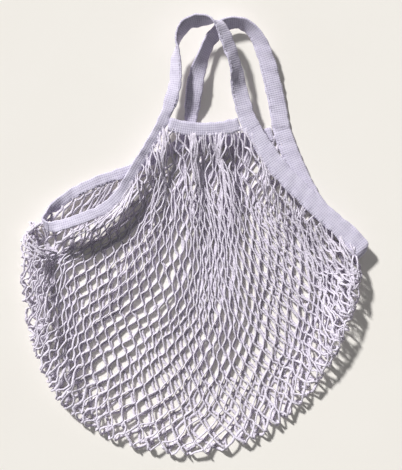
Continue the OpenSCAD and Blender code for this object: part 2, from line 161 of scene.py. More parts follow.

# %% [markdown]
# ## Knitted cotton tape
# The tape is a fine rib knit, dyed a pale lavender grey. Its wales are little ridges along the tape and its
# courses small steps across it. The grooves between them are painted darker, most where two grooves cross, as
# painted shade in the knit's hollows, so the eye sees a soft waffle with no shine. The pattern follows the
# tape, so it reads the piece's own UV map, which holds metres along and across the tape. The real wales are
# about 1.3 mm apart. They are drawn at 2.6 mm, so that they show in a picture where a pixel is one
# millimetre.

# %% Tape material
def cotton_knit(name, light_hex, shade_and_tone_hex, wale=2.6 * MM, course=2.3 * MM):
    material, tree = new_material(name)
    uv = add(tree, "ShaderNodeUVMap", uv_map="cloth")
    place = add(tree, "ShaderNodeSeparateXYZ", {0: uv.outputs[0]})
    grooves = []
    for axis, pitch in ((1, wale), (0, course)):
        wave = maths(tree, "COSINE", maths(tree, "MULTIPLY", place.outputs[axis], 2 * np.pi / pitch))
        groove = add(tree, "ShaderNodeMapRange", {0: wave, 1: -1.0, 2: 1.0, 3: 1.0, 4: 0.0})
        grooves.append(groove.outputs[0])
    pit = maths(tree, "MULTIPLY", grooves[0], grooves[1])
    deep = maths(tree, "MULTIPLY_ADD", grooves[0], 0.35, pit)
    deep = maths(tree, "MULTIPLY_ADD", grooves[1], 0.65, deep)
    raised = add(tree, "ShaderNodeMapRange", {0: deep, 1: 0.0, 2: 2.2, 3: 1.0, 4: 0.0})
    where = add(tree, "ShaderNodeTexCoord").outputs["Object"]
    # wear changes the tone about every 6 mm
    worn = add(tree, "ShaderNodeTexNoise", {"Vector": where, "Scale": 160.0, "Detail": 6.0})
    shade = maths(tree, "MULTIPLY_ADD", worn.outputs["Fac"], 1.3, -0.65)
    blend = maths(tree, "ADD", raised.outputs[0], shade, clamp=True)
    # the darker colour is painted shade in the grooves and pits, mixed with the random tone of wear
    colour = add(tree, "ShaderNodeMixRGB", {
        "Fac": blend, "Color1": linear(shade_and_tone_hex), "Color2": linear(light_hex)})
    bump = add(tree, "ShaderNodeBump", {"Strength": 0.5, "Distance": 0.6 * MM, "Height": raised.outputs[0]})
    cloth = add(tree, "ShaderNodeBsdfPrincipled", {
        "Base Color": colour.outputs["Color"], "Roughness": 0.92, "Specular IOR Level": 0.2, "IOR": 1.5,
        "Sheen Weight": 0.15, "Sheen Roughness": 0.5, "Normal": bump.outputs["Normal"]})
    add(tree, "ShaderNodeOutputMaterial", {"Surface": cloth.outputs["BSDF"]})
    return material


tape_knit = cotton_knit("rib_knit_cotton_tape", "#DAD5E6", "#B9B2C9")

# %% [markdown]
# ## Twisted cotton cord
# The net's cord is soft matte cotton, two plies laid together. The twist shows as fine slanting lines, one
# turn in about 7 mm, painted darker in the grooves between the plies as painted shade, so again the pattern
# follows the cord's own UV map: metres along, and turns around. A slow drift along the cord keeps the strands
# from all being one tone.

# %% Cord and thread materials
def twisted_cotton(name, light_hex, shade_and_tone_hex, turn=7 * MM):
    material, tree = new_material(name)
    uv = add(tree, "ShaderNodeUVMap", uv_map="cloth")
    place = add(tree, "ShaderNodeSeparateXYZ", {0: uv.outputs[0]})
    wound = maths(tree, "MULTIPLY_ADD", place.outputs[0], 2 / turn, place.outputs[1])
    ply = maths(tree, "COSINE", maths(tree, "MULTIPLY", wound, 2 * np.pi))
    raised = add(tree, "ShaderNodeMapRange", {0: ply, 1: -1.0, 2: 1.0, 3: 0.0, 4: 1.0})
    where = add(tree, "ShaderNodeTexCoord").outputs["Object"]
    # the tone drifts about every 14 mm
    drift = add(tree, "ShaderNodeTexNoise", {"Vector": where, "Scale": 70.0, "Detail": 3.0})
    shade = maths(tree, "MULTIPLY_ADD", drift.outputs["Fac"], 0.9, -0.2)
    blend = maths(tree, "MULTIPLY_ADD", raised.outputs[0], 0.5, shade, clamp=True)
    # the darker colour is painted shade in the grooves between the plies, mixed with the random drift of tone
    colour = add(tree, "ShaderNodeMixRGB", {
        "Fac": blend, "Color1": linear(shade_and_tone_hex), "Color2": linear(light_hex)})
    bump = add(tree, "ShaderNodeBump", {"Strength": 0.5, "Distance": 0.3 * MM, "Height": raised.outputs[0]})
    cloth = add(tree, "ShaderNodeBsdfPrincipled", {
        "Base Color": colour.outputs["Color"], "Roughness": 0.9, "Specular IOR Level": 0.2, "IOR": 1.5,
        "Sheen Weight": 0.1, "Sheen Roughness": 0.5, "Normal": bump.outputs["Normal"]})
    add(tree, "ShaderNodeOutputMaterial", {"Surface": cloth.outputs["BSDF"]})
    return material


net_cotton = twisted_cotton("two_ply_cotton_cord", "#E6E0EC", "#D0C9D7")
sewing_cotton = twisted_cotton("cotton_sewing_thread", "#DEDAE8", "#B4AEC2", turn=2 * MM)

# %% [markdown]
# ## The tape's route
# The tape runs without an end: up the back's right side, round the back handle, down the back's left side,
# round the left low point, up the front and round the front handle, and down to the right low point. The
# route is the CAD model's own, point by point: x, y and height in millimetres, the tape's roll in degrees and
# its width. A smooth curve runs through the points. The CAD's tape is stiff, so a few of its heights and
# rolls are then changed to how soft tape lies.

# %% Route points
BACK, FRONT = 2.0, 15.0
STEP = FRONT - BACK
RIM = 24.0
RIM_LEAN = 40
FLAT_BACK, FLAT_FRONT = -180, 0


def tapered(sevenths):
    """Width where the right tape narrows towards the handles."""
    return 20 - 2 * sevenths / 7


route = np.array([
    # back right binding, from the low point up
    (178, -11, BACK, FLAT_BACK, 20), (162, 5, BACK, FLAT_BACK, 20), (140, 23, BACK, FLAT_BACK, 20),
    (123, 47, BACK, FLAT_BACK, 20), (110, 73, BACK, FLAT_BACK, 20), (100, 97, BACK, FLAT_BACK, tapered(1)),
    (93, 117, BACK, FLAT_BACK, tapered(2)), (90, 134, BACK, FLAT_BACK, tapered(3)),
    # back handle, which turns its inner face up over the top and down the left leg
    (87, 150, BACK + 1, -178, tapered(4)), (82, 171, BACK + 3, -172, tapered(5)),
    (76, 193, BACK + 6, -160, tapered(6)), (66, 216, BACK + 9, -140, 18), (53, 229, BACK + 10, -125, 18),
    (38, 231, BACK + 10, -127, 18), (26, 225, BACK + 10, -135, 18), (14, 210, BACK + 9.5, -134, 18),
    (6, 191, BACK + 8.5, -138, 18), (0, 171, BACK + 2.5, -176, 18), (-3, 150, BACK + 1, -178, 18),
    (-5, 134, BACK, FLAT_BACK, 15),
    # back left binding
    (-8, 118, BACK, FLAT_BACK, 12), (-17, 103, BACK, FLAT_BACK, 12), (-32, 92, BACK, FLAT_BACK, 12),
    (-52, 82, BACK, FLAT_BACK, 12), (-75, 71, BACK, FLAT_BACK, 12), (-104, 61, BACK, FLAT_BACK, 12),
    (-130, 49, BACK, FLAT_BACK, 12),
    # turn at the left low point
    (-150, 35, BACK + STEP / 3, -150, 12), (-161, 25, BACK + STEP * 2 / 3, -110, 12),
    (-164, 17, BACK + STEP * 0.9, -88, 12), (-157, 11, FRONT + 4, -25, 12), (-143, 13, RIM, RIM_LEAN, 12),
    # front left rim, standing up from the net, and front left binding
    (-119, 21, RIM, RIM_LEAN, 12), (-98, 31, FRONT + 2, RIM_LEAN / 8, 12), (-83, 45, FRONT, FLAT_FRONT, 12),
    (-75, 57, FRONT, FLAT_FRONT, 12), (-64, 76, FRONT, FLAT_FRONT, 12), (-51, 97, FRONT, FLAT_FRONT, 12),
    (-40, 116, FRONT, FLAT_FRONT, 12), (-33, 131, FRONT, FLAT_FRONT, 12),
    # front handle, which turns its inner face up over the top and slopes down the right leg
    (-27, 146, FRONT + 1.45, 15, 15), (-22, 166, FRONT + 4.35, 42, 18), (-21, 191, FRONT + 7.25, 55, 18),
    (-18, 214, FRONT + 10.15, 112, 18), (-8, 228, FRONT + 11.6, 128, 18), (11, 231, FRONT + 13.05, 118, 18),
    (25, 226, FRONT + 14.5, 52, 18), (34, 206, FRONT + 13.05, 28, 18), (42, 183, FRONT + 9.425, 30, 18),
    (46, 160, FRONT + 2.175, 8, 18), (50, 145, FRONT + 0.725, 2, 18),
    (54, 131, FRONT, FLAT_FRONT, tapered(6)),
    # front right binding, down to the low point
    (61, 116, FRONT, FLAT_FRONT, tapered(4)), (76, 92, FRONT, FLAT_FRONT, tapered(2)),
    (95, 67, FRONT, FLAT_FRONT, 20), (117, 45, FRONT, FLAT_FRONT, 20), (140, 23, FRONT, FLAT_FRONT, 20),
    (162, 5, FRONT, FLAT_FRONT, 20), (178, -11, FRONT, FLAT_FRONT, 20)], float)

# the left leg of the back handle and the back of the mouth arch up a little from the table
route[16:20, 2] += (2, 7, 6, 2)
route[22:28, 2] += (2, 4, 6, 7, 6, 3)
# the front handle's right leg turns further over as it comes down from the top
route[47:50, 3] += (10, 13, 8)
# the net pulls the inner edge of the front left tape down
route[34:40, 3] -= (8, 16, 20, 20, 14, 6)
# the raised rim leans less than the CAD's
route[31:33, 3] -= 28


def smooth_curve(points, at):
    """Points of the curve through points, at places counted in points."""
    last = len(points) - 1
    i = np.clip(np.floor(at).astype(int), 0, last - 1)
    t = (at - i)[:, None]
    a, b, c, d = (points[np.clip(i + k, 0, last)] for k in (-1, 0, 1, 2))
    square, cube = 2 * a - 5 * b + 4 * c - d, 3 * b - a - 3 * c + d
    return 0.5 * (2 * b + (c - a) * t + square * t ** 2 + cube * t ** 3)


def unit(v):
    """Vectors brought to length one."""
    return v / np.maximum(np.linalg.norm(v, axis=-1, keepdims=True), 1e-12)


class Run:
    """A stretch of flat tape: places along it, with the directions along, across and off its face."""

    def __init__(self, place, across, width, begins=0.0):
        self.place, self.width, self.begins = place, width, begins
        self.along = unit(np.gradient(place, axis=0))
        self.across = unit(across - (across * self.along).sum(1, keepdims=True) * self.along)
        self.facing = np.cross(self.across, self.along)
        self.length = np.concatenate([[0], np.cumsum(np.linalg.norm(np.diff(place, axis=0), axis=1))])

    def at(self, side, lift):
        side, lift = np.asarray(side)[:, None], np.asarray(lift)[:, None]
        return self.place + side * self.across + lift * self.facing


# places to a stretch between two route points, close enough to measure the curve by
DENSE = 60


def tape_run(first, last, spacing=1.6 * MM):
    """The tape between two places of the route, counted in its points."""
    dense = np.linspace(first, last, int((last - first) * DENSE) + 2)
    p = smooth_curve(route, dense)
    size = np.concatenate([[0], np.cumsum(np.linalg.norm(np.diff(p[:, :3], axis=0), axis=1))])
    count = max(int(size[-1] * MM / spacing), 4)
    before = smooth_curve(route, np.linspace(0, first, int(first * DENSE) + 2))[:, :3]
    begins = np.linalg.norm(np.diff(before, axis=0), axis=1).sum() * MM
    p = smooth_curve(route, np.interp(np.linspace(0, size[-1], count), size, dense))
    p[:, 2] = np.maximum(p[:, 2], BACK)
    roll = np.radians(np.maximum(p[:, 3], FLAT_BACK))[:, None]
    along = unit(np.gradient(p[:, :3], axis=0))
    level = unit(np.stack([along[:, 1], -along[:, 0], 0 * along[:, 0]], axis=1))
    across = np.cos(roll) * level + np.sin(roll) * np.cross(level, along)
    return Run(p[:, :3] * MM, across, p[:, 4] * MM, begins)


print("tape route:", len(route), "points,", round(tape_run(0, len(route) - 1).length[-1], 2), "m of tape")

# %% [markdown]
# ## Skinning
# Tape and cord are both made the same way: a cross section is set on each place along the run, and the
# sections are joined by faces. The helper takes many runs at once, because a net has a lot of cords. Each
# piece gets its UV map here, in metres along and across, so that knit and twist keep their real scale.

# %% Skin helper
def skin(name, runs, material):
    """Each run is rings (places x corners x 3), metres along (places) and around (places x corners + 1)."""
    points, faces, caps, uv, cap_uv = [], [], [], [], []
    begin = 0
    for rings, along, around in runs:
        places, corners, _ = rings.shape
        index = begin + np.arange(places * corners).reshape(places, corners)
        begin += places * corners
        following = np.roll(index, -1, axis=1)
        points.append(rings.reshape(-1, 3))
        quads = np.stack([index[:-1], following[:-1], following[1:], index[1:]], axis=-1)
        faces.append(quads.reshape(-1, 4))
        s = np.repeat(along[:, None], corners, axis=1)
        u = np.stack([s[:-1], s[:-1], s[1:], s[1:]], axis=-1)
        lo, hi = around[:, :-1], around[:, 1:]
        v = np.stack([lo[:-1], hi[:-1], hi[1:], lo[1:]], axis=-1)
        uv.append(np.stack([u, v], axis=-1).reshape(-1, 2))
        caps += [index[0, ::-1].tolist(), index[-1].tolist()]
        cap_uv += [[along[0], w] for w in around[0, :0:-1]] + [[along[-1], w] for w in around[-1, :-1]]
    sides = np.concatenate(faces).tolist()
    mesh = bpy.data.meshes.new(name)
    mesh.from_pydata(np.concatenate(points).tolist(), [], sides + caps)
    uv = np.concatenate(uv + [np.array(cap_uv)]).astype(np.float32)
    mesh.uv_layers.new(name="cloth").data.foreach_set("uv", uv.ravel())
    mesh.polygons.foreach_set("use_smooth", [True] * len(sides) + [False] * len(caps))
    piece = bpy.data.objects.new(name, mesh)
    bpy.context.collection.objects.link(piece)
    mesh.materials.append(material)
    return piece


def round_rings(path, radius, up, corners=6, flat=1.0):
    """A round or flattened section on each place of a path, and its UV, for cord and thread."""
    along = unit(np.gradient(path, axis=0))
    side = unit(np.cross(up, along))
    for k in range(1, len(path)):
        side[k] = unit(side[k - 1] - (side[k - 1] @ along[k]) * along[k])
    top = np.cross(along, side)
    turn = 2 * np.pi * np.arange(corners) / corners
    rings = path[:, None] + np.reshape(radius, (-1, 1, 1)) * (
        np.cos(turn)[:, None] * side[:, None] + flat * np.sin(turn)[:, None] * top[:, None])
    size = np.concatenate([[0], np.linalg.norm(np.diff(path, axis=0), axis=1).cumsum()])
    return rings, size, np.broadcast_to(np.arange(corners + 1) / corners, (len(path), corners + 1))


# random phases go up to about one turn
ONE_TURN = 6.28


def ripple(length, across, seed, pitch, size, sines=5):
    """Soft uneven waves along a tape, from a few seeded sines."""
    dice = np.random.default_rng(seed)
    wave = 0
    for _ in range(sines):
        stretch = pitch * dice.uniform(0.6, 1.9)
        lean = dice.uniform(-0.4, 0.4)
        turns = length[:, None] / stretch + lean * across
        wave = wave + np.sin(2 * np.pi * turns + dice.uniform(0, ONE_TURN))
    return size * wave / sines


# %% [markdown]
# ## Tape pieces
# The tape is flat with rounded edges that curl up a little, as knit does, and its sewn edge puckers where
# the gathered net pulls on it. It is one tape, cut here where the bodies of the model meet. The pieces
# overlap there, and their ends thin out, so that no cut shows.

# %% Tape pieces
TAPE = 3.2 * MM
# the end of a piece is thinner and narrower by these shares, over this length
THINNER, NARROWER, END_LENGTH = 0.5, 0.06, 3 * MM
# pitch and size of the slow waves in a tape and of its uneven width, and pitch of the sewn edge's puckers
WAVE, UNEVEN, PUCKERS = (24 * MM, 0.7 * MM), (14 * MM, 0.8 * MM), 7 * MM
top_sides = np.array([-1, -0.975, -0.9, -0.72, -0.45, -0.15, 0.15, 0.45, 0.72, 0.9, 0.975, 1])
section_side = np.concatenate([top_sides, top_sides[-2:0:-1]])
section_top = np.array([1] * len(top_sides) + [-1] * (len(top_sides) - 2))


def eased(x):
    """0 below 0, 1 above 1, and a soft S between."""
    x = np.clip(x, 0, 1)
    return x * x * (3 - 2 * x)


def tape_piece(name, run, seed=11, thick=TAPE, pucker=0.7 * MM, curl=0.4 * MM):
    side = section_side[None, :]
    measure = run.begins + run.length
    tucked = 1 - eased(np.minimum(run.length, run.length[-1] - run.length) / END_LENGTH)[:, None]
    half = thick / 2 * (1 - THINNER * tucked)
    body = np.sqrt(np.maximum(1 - np.abs(side) ** 5, 0)) * section_top[None, :] * half
    upward = run.facing[:, 2:]
    wave = ripple(measure, side, seed, *WAVE)
    sewn = ripple(measure, side, seed + 1, PUCKERS, pucker) * np.clip(side, 0, 1) ** 2
    lift = body + upward * curl * side ** 4 + wave * (0.4 + side ** 2) + sewn
    uneven = ripple(measure, 0 * side, seed + 2, *UNEVEN)
    reach = side * ((1 - NARROWER * tucked) * run.width[:, None] / 2 + uneven)
    sideways, off = reach[..., None] * run.across[:, None], lift[..., None] * run.facing[:, None]
    rings = run.place[:, None] + sideways + off
    across = np.concatenate([section_side, section_side[:1]])[None, :] * run.width[:, None] / 2
    return skin(name, [(rings, measure, across)], tape_knit)


front_handle = tape_piece("front_handle_tape", tape_run(37.85, 52.15))
back_handle = tape_piece("back_handle_tape", tape_run(5.8, 20.2))
front_left = tape_piece("front_left_tape", tape_run(29.95, 38.2))
back_right = tape_piece("back_right_tape", tape_run(0, 6.1))
back_left = tape_piece("back_left_tape", tape_run(19.9, 30))

# at the right low point the tape spreads towards the net, rounds its outer corner and turns straight under
# itself in a half round; the shares are of its width
CORNER, CORNER_TURNED, FLARE = 0.12, 0.36, 0.25
CORNER_LENGTH, FLARE_LENGTH = 9 * MM, 40 * MM
down = tape_run(51.85, 58)
half_turn = np.linspace(0, np.pi, 22)[1:]
radius = STEP / 2 * MM
forward, drop = radius * np.sin(half_turn)[:, None], radius * (np.cos(half_turn)[:, None] - 1)
under = down.place[-1] + forward * down.along[-1] + drop * [0, 0, 1]
to_tip = down.length[-1] - down.length
rounded = np.concatenate([
    CORNER * np.clip(1 - to_tip / CORNER_LENGTH, 0, 1) ** 2, CORNER + CORNER_TURNED * np.sin(half_turn)])
flared = FLARE * np.concatenate([eased(1 - to_tip / FLARE_LENGTH), 1 - half_turn / np.pi])
tip_across = np.concatenate([down.across, np.repeat(down.across[-1:], len(under), 0)])
tip_width = np.concatenate([down.width, np.full(len(under), down.width[-1])])
shift = (0.3 * rounded + 0.5 * flared) * tip_width
tip_place = np.concatenate([down.place, under]) + shift[:, None] * tip_across
tip_width = tip_width * (1 - rounded + flared)
front_right = tape_piece("front_right_tape", Run(tip_place, tip_across, tip_width, down.begins))
tapes = [front_handle, back_handle, front_left, front_right, back_right, back_left]
print("tape pieces:", {p.name: len(p.data.polygons) for p in tapes})

# %% [markdown]
# ## Yokes
# A yoke is a short tape folded over the gathered edge of the net, between the two runs of the long tape. It
# sags a little, and its lower edge is pinched into small puckers by the gathers.

# %% Front and back yoke
YOKE = 15


def yoke_run(centre, radius, half_deg, z, tilt=0.0, places=60):
    """A shallow arc that sags between its ends."""
    a = np.radians(-90 + np.linspace(-half_deg, half_deg, places))
    out = np.stack([np.cos(a), np.sin(a), 0 * a], axis=1)
    place = np.array([centre[0], centre[1], z]) * MM + radius * MM * out
    return Run(place, out - np.array([0, 0, tilt]), np.full(places, YOKE * MM))


front_yoke_line = yoke_run(centre=(8.6, 240.8), radius=125.3, half_deg=17.8, z=FRONT, tilt=0.09)
back_yoke_line = yoke_run(centre=(40.1, 265.1), radius=159.1, half_deg=15.8, z=BACK)
front_yoke = tape_piece("front_yoke_band", front_yoke_line, seed=21, thick=3.8 * MM, pucker=0.9 * MM)
back_yoke = tape_piece("back_yoke_band", back_yoke_line, seed=22, thick=3.6 * MM, pucker=0.8 * MM)
print("yokes", [round(line.length[-1] / MM) for line in (front_yoke_line, back_yoke_line)], "mm long")

# %% [markdown]
# ## The net
# The net hangs in columns of diamonds that fan out from the yoke and run down to the bottom fold, where it
# turns round to the back. Every bar of a diamond has the same length, a little more where the bottom is worn
# wide, so where the columns crowd together at the yoke the diamonds close up and get long, and where they
# spread out they open. That rule places the joints: first the columns are drawn, each through its places at
# three heights of the bag and drawn into pleats below the yoke, then rows are stepped off along them, each as
# high as its bars and its width allow. The net is worked out flat, in millimetres. The real cord is about
# 2 mm thick. It is drawn 3.1 mm wide and flattened, so that a strand shows as three pixels.

# %% Columns and rows
FIRST, COLUMNS = -5, 55
BAR, CORD, JOINT = 11.8, 3.1, 2.2
ROWS_DOWN, ROWS_UP = 27, 26
# the heights that columns are worked out for, well past both ends of the bag
REACH = (-420.0, 330.0)
HEIGHTS = (119, -74, -235)
# column, and its x at the three heights
fan = np.array([
    (-5, -195, -325, -470), (3, -130, -205, -335), (9, -62, -115, -225), (14, -24, -41, -120),
    (17, -10, -5, -48), (21, 9, 30, 40), (25, 27, 67, 128), (28, 44, 104, 200), (35, 118, 198, 365),
    (50, 300, 400, 700)], float)
# the back's yoke lies this far to the right of the front's
BACK_SHIFT = 31
# that shift dies out from the yoke down to this height, and a share of it comes back at the bottom
SHIFT_END = 10
BOTTOM_SHARE, BOTTOM_FROM, BOTTOM_LENGTH = 1 / 5, -120, 70
# between, the back lies out of line in patches this many columns apart, by this share of the shift at most
LOOSE_PITCH, LOOSE_SHARE = 9, 0.12
# a clear place between patches, and the length down the bag in which they move over by one pitch
CLEAR_COLUMN, CLEAR_Y, LOOSE_LENGTH = 13, -87, 300
# columns in one pleat, where the pleats begin, and how many columns they draw together
PLEAT, PLEAT_PHASE, PLEAT_DRAW = 6.2, 3.55, 0.75
# finer pleats between them, and the columns over which all pleats fade out at the right
FINE_PLEAT, FINE_DRAW = 3.7, 0.2
FADE_FROM, FADE_COLUMNS = 26, 4
# the lower end of the pleats, and the length over which they grow
PLEATS_END, PLEATS_GROW = 5, 90
# the fringe of gathered cords below the yoke: its lower end, its length and how much of the pleats it undoes
FRINGE_END, FRINGE, FRINGE_EVEN = 80, 35, 0.6
# how much longer the bars are where the bottom is worn wide, from which height and over which length
WORN, WORN_FROM, WORN_LENGTH = 3, -100, 90
# the least height of a row, as a share of its bar
LOWEST_ROW = 0.55


def column_x(column, y):
    """Where a column runs at a height: a curve through its places at the three heights."""
    ease = np.linspace(-2, 2, 9)
    top, middle, low = (
        np.mean([np.interp(column + d, fan[:, 0], fan[:, k]) for d in ease], axis=0) for k in (1, 2, 3))
    a, b, c = HEIGHTS
    return (top * (y - b) * (y - c) / ((a - b) * (a - c)) + middle * (y - a) * (y - c) / ((b - a) * (b - c))
            + low * (y - a) * (y - b) / ((c - a) * (c - b)))


def at_yoke(y):
    """1 at the yoke, where the gathered cords hang in an even fringe, falling to 0 at the fringe's end."""
    return eased((y - FRINGE_END) / FRINGE)


def lay_joints(shift):
    """The joints of a layer, half column by half column, each with its rows from the lowest up."""
    column = FIRST + np.arange(2 * COLUMNS + 1)[:, None] / 2
    y = np.arange(*REACH)
    drawn = PLEAT_DRAW * np.sin(2 * np.pi * column / PLEAT + PLEAT_PHASE)
    drawn = drawn + FINE_DRAW * np.sin(2 * np.pi * column / FINE_PLEAT + shift)
    # columns that end in the right tape are not pleated
    drawn = drawn * (1 - eased((column - FADE_FROM) / FADE_COLUMNS))
    drawn = drawn * eased((y - PLEATS_END) / PLEATS_GROW) * (1 - FRINGE_EVEN * at_yoke(y))
    x = column_x(column + drawn, y)
    # the layers lie out of line at the yoke, a little at the bottom, and in patches between
    patch = (column - CLEAR_COLUMN) / LOOSE_PITCH - (y - CLEAR_Y) / LOOSE_LENGTH
    loose = LOOSE_SHARE * np.sin(np.pi * patch) ** 2
    x = x + shift * (loose + (1 - loose) * eased((y - SHIFT_END) / (HEIGHTS[0] - SHIFT_END)))
    x = x + BOTTOM_SHARE * shift * eased((BOTTOM_FROM - y) / BOTTOM_LENGTH)
    slope = np.gradient(x, axis=1)
    wide = 2 * np.gradient(x, axis=0) / np.hypot(1, slope)
    bar = BAR + WORN * eased((WORN_FROM - y) / WORN_LENGTH)
    rise = np.sqrt(np.maximum(bar ** 2 - (wide / 2) ** 2, (LOWEST_ROW * bar) ** 2))
    rows = np.cumsum(np.hypot(1, slope) / rise, axis=1)
    # the first row runs square to the columns, outwards from the middle one
    start = np.full(len(x), float(HEIGHTS[1]))
    middle = COLUMNS
    for k in [*range(middle + 1, len(x)), *range(middle - 1, -1, -1)]:
        last = k - 1 if k > middle else k + 1
        lean = np.interp(start[last], y, slope[last])
        step = np.interp(start[last], y, x[k]) - np.interp(start[last], y, x[last])
        start[k] = start[last] - lean * step / (1 + lean ** 2)
    joints = []
    for k in range(len(x)):
        row = np.arange(-ROWS_DOWN, ROWS_UP + 1) + np.interp(start[k], y, rows[k])
        at = np.interp(row, rows[k], y)
        joints.append(np.stack([np.interp(at, y, x[k]), at], axis=1))
    return np.array(joints)


front_joints, back_joints = lay_joints(0), lay_joints(BACK_SHIFT)
print("joints in a layer:", front_joints.shape[0], "half columns of", front_joints.shape[1], "rows")

# %% [markdown]
# ### The net's edges
# The outline of the bag is where the net folds under. It is ragged, because each loop of cord bulges by
# itself. The other edge lies in the tapes and the yoke. Two small helpers tell how far a point is from such a
# line, and whether it is inside a closed one.

# %% Outline and mouth
fold_outline = np.array([
    (-164, 17), (-177, 12), (-187, -2), (-189, -45), (-184, -82), (-177, -115), (-164, -150), (-145, -182),
    (-115, -207), (-80, -223), (-40, -233), (0, -236), (32, -231), (62, -220), (90, -203), (115, -179),
    (137, -151), (156, -118), (170, -84), (177, -52), (177, -33), (172, -19)], float)
FOLD_PLACES = 500
fold_line = smooth_curve(fold_outline, np.linspace(0, len(fold_outline) - 1, FOLD_PLACES))
run_of_fold = unit(np.gradient(fold_line, axis=0))
fold_out = np.stack([run_of_fold[:, 1], -run_of_fold[:, 0]], axis=1)
fold_size = np.linalg.norm(np.gradient(fold_line, axis=0), axis=1).cumsum()
fold_line = fold_line + fold_out * ripple(fold_size, 0, seed=51, pitch=22, size=2.0)


def sewn_line(run, share=0.3):
    """Where the net ends in a tape: this share of the way from its middle to its inner edge."""
    return run.at(share * run.width / 2, 0 * run.width) / MM


def edge_of(first, last):
    """That line between two places of the route, in either direction."""
    line = sewn_line(tape_run(min(first, last), max(first, last)))
    return line if first < last else line[::-1]


left_edge = edge_of(29.4, 38.25)
front_mouth = np.concatenate([left_edge, sewn_line(front_yoke_line), edge_of(51.9, 58)])
back_mouth = np.concatenate([edge_of(28.8, 20.5), sewn_line(back_yoke_line), edge_of(5.9, 0)])


def nearest(points, line):
    """For each point, the nearest place of a line and the distance to it."""
    parts = np.array_split(points, len(points) // 2000 + 1)
    index = np.concatenate([((part[:, None] - line[None]) ** 2).sum(-1).argmin(1) for part in parts])
    return index, np.linalg.norm(points - line[index], axis=1)


def inside(points, ring):
    """Which points a closed line goes round: those with an odd number of crossings to their right."""
    odd = np.zeros(len(points), bool)
    for (ax, ay), (bx, by) in zip(ring, np.roll(ring, -1, axis=0)):
        if ay != by:
            crossed = (ay > points[:, 1]) != (by > points[:, 1])
            odd ^= crossed & (points[:, 0] < ax + (bx - ax) * (points[:, 1] - ay) / (by - ay))
    return odd


print("outline", round(fold_size[-1]), "mm round")

# %% [markdown]
# ### Slack
# A loose net never lies evenly. Along both sides and below the raised rim it is pushed together in bunches,
# soft waves draw whole groups of columns together and apart, and each joint strays a little, most near the
# outline. The waves come from a few seeded sines.

# %% Bunches and strays
def soft_noise(x, y, dice, pitches, size):
    """A few sines over the flat net, each in its own direction."""
    wave = 0
    for pitch in pitches:
        turn = dice.uniform(0, ONE_TURN)
        turns = (np.cos(turn) * x + np.sin(turn) * y) / pitch
        wave = wave + np.sin(2 * np.pi * turns + dice.uniform(0, ONE_TURN))
    return size * wave / np.sqrt(len(pitches))


def gather(flat, line, out, taken_up, band):
    """Pushes the net together along an edge, so that more of it, taken_up, lies in the band inside."""
    index, away = nearest(flat, line)
    depth = -((flat - line[index]) * out[index]).sum(1)
    drawn_in = (depth + taken_up[index]) * band / (band + taken_up[index])
    beside = (depth < band) & (away < np.abs(depth) + 3)
    return flat + out[index] * np.where(beside, depth - drawn_in, 0)[:, None]


# net taken up along the rim and along the right and left sides, and the bands that it is taken up in
RIM_EXTRA, RIGHT_EXTRA, LEFT_EXTRA = 45, 58, 40
RIM_BAND, FOLD_BAND = 40, 50
# how far a joint strays, and how much further at the outline
STRAY, FOLD_STRAY = 0.7, 1.1
# narrow waves above the middle: size, lower end, length in which they grow, and share lost in the fringe
SWING, SWING_END, SWING_LENGTH, SWING_EVEN = 2.4, 10, 70, 0.7
rim_line = left_edge[:, :2]
run_of_rim = unit(np.gradient(rim_line, axis=0))
rim_out = np.stack([-run_of_rim[:, 1], run_of_rim[:, 0]], axis=1)
along_rim = np.linspace(0, 1, len(rim_line))
rim_extra = RIM_EXTRA * eased((1 - along_rim) / 0.5)
fold_extra = 3 + np.where(fold_out[:, 0] > 0, RIGHT_EXTRA, LEFT_EXTRA) * fold_out[:, 0] ** 4

# for gathering, the fold runs straight on under the right tape, a millimetre at a time
RUN_ON = 49
run_on = fold_line[-1] + np.arange(1, RUN_ON + 1)[:, None] * run_of_fold[-1]
long_fold = np.concatenate([fold_line, run_on])
long_out, long_extra = (np.concatenate([v, np.repeat(v[-1:], RUN_ON, 0)]) for v in (fold_out, fold_extra))


def near_fold(points):
    """1 at the outline, falling to 0 at the inside of the band along it."""
    return 1 - eased(nearest(points, fold_line)[1] / FOLD_BAND)


def slack(joints, seed):
    """A layer's joints, swung by the waves that both layers share, gathered at the outline and strayed."""
    dice, waves = np.random.default_rng(seed), np.random.default_rng(31)
    flat = joints.reshape(-1, 2)
    x, y = flat.T
    swing = SWING * eased((y - SWING_END) / SWING_LENGTH) * (1 - SWING_EVEN * at_yoke(y))
    flat = flat + np.stack([
        soft_noise(x, y, waves, (70, 95, 150), 2.2) + soft_noise(x, y, waves, (21, 27, 34), swing),
        soft_noise(x, y, waves, (38, 60, 90), 1.2)], axis=1)
    flat = gather(flat, long_fold, long_out, long_extra, FOLD_BAND)
    flat = flat + dice.normal(0, 1, flat.shape) * (STRAY + FOLD_STRAY * near_fold(flat))[:, None]
    return flat.reshape(joints.shape)


front_joints, back_joints = slack(front_joints, 31), slack(back_joints, 32)
bunched = gather(front_joints.reshape(-1, 2), rim_line, rim_out, rim_extra, RIM_BAND)
front_joints = bunched.reshape(front_joints.shape)
print("net taken up in mm, at most:", {"rim": round(rim_extra.max()), "sides": round(fold_extra.max())})

# %% [markdown]
# ### Cords
# Two cords meet at each joint and run side by side there for a few millimetres, where the net's maker twists
# them together. So each cord is a zigzag between two columns. Between joints it is slack and bows to one side
# or the other, which makes the holes round.

# %% Cord lines
# how far from a joint's middle its two cords lie: a share of the cord, or of a crowded joint's room
BESIDE, CROWDED = 0.42, 0.14


